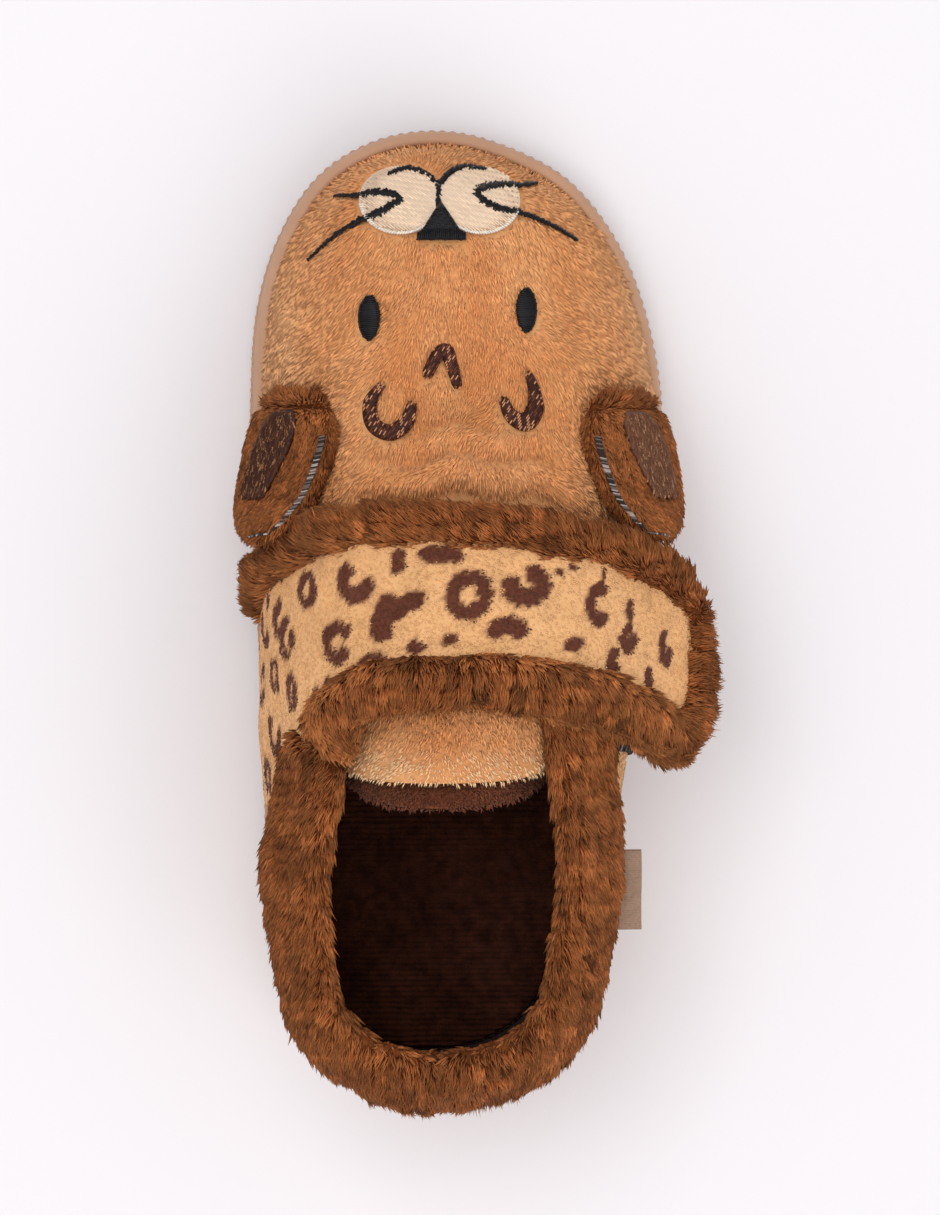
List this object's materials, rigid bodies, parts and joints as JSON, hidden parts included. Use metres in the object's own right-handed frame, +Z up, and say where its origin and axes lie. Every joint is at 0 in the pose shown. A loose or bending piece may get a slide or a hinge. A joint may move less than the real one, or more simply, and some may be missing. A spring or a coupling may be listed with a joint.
{
  "type": "toddler's plush slipper",
  "caption": "Toddler's plush slipper with a rubber cup sole, fur-bound collar, spotted instep strap, padded ears and an embroidered animal face.",
  "frame": {"origin": "on the ground under the middle of the slipper's bounding box", "axes": "+Y from the heel to the toe, +X to the outer side, +Z up; it stands on its tread"},
  "size_m": [0.0764, 0.1566, 0.0665],
  "materials": {
    "rubber": "matt tan thermoplastic rubber",
    "dark_fleece": "short ribbed fleece",
    "tan_plush": "short brushed plush",
    "spotted_plush": "velvety plush with printed spots",
    "brown_fur": "thick short fur",
    "brown_fleece": "short fleece",
    "ear_embroidery": "dense brown stitching",
    "cream_thread": "satin stitch",
    "black_thread": "satin stitch",
    "brown_thread": "satin stitch",
    "fastener_tape": "hook and loop tape",
    "woven_label": "woven tape"
  },
  "bodies": {
    "root": {"outsole": "rubber", "insole": "dark_fleece", "upper": "tan_plush", "tongue": "tan_plush", "tongue_lining": "brown_fleece", "collar_binding": "brown_fur", "strap": "spotted_plush", "strap_binding": "brown_fur", "loop_tape": "fastener_tape", "hook_tape": "fastener_tape", "ear_inner": "brown_fur", "ear_patch_inner": "ear_embroidery", "ear_outer": "brown_fur", "ear_patch_outer": "ear_embroidery", "muzzle": "cream_thread", "nose": "black_thread", "eye_inner": "black_thread", "eye_outer": "black_thread", "brow_mark": "brown_thread", "spot_inner": "brown_thread", "spot_outer": "brown_thread", "side_label": "woven_label"}
  },
  "joints": []
}
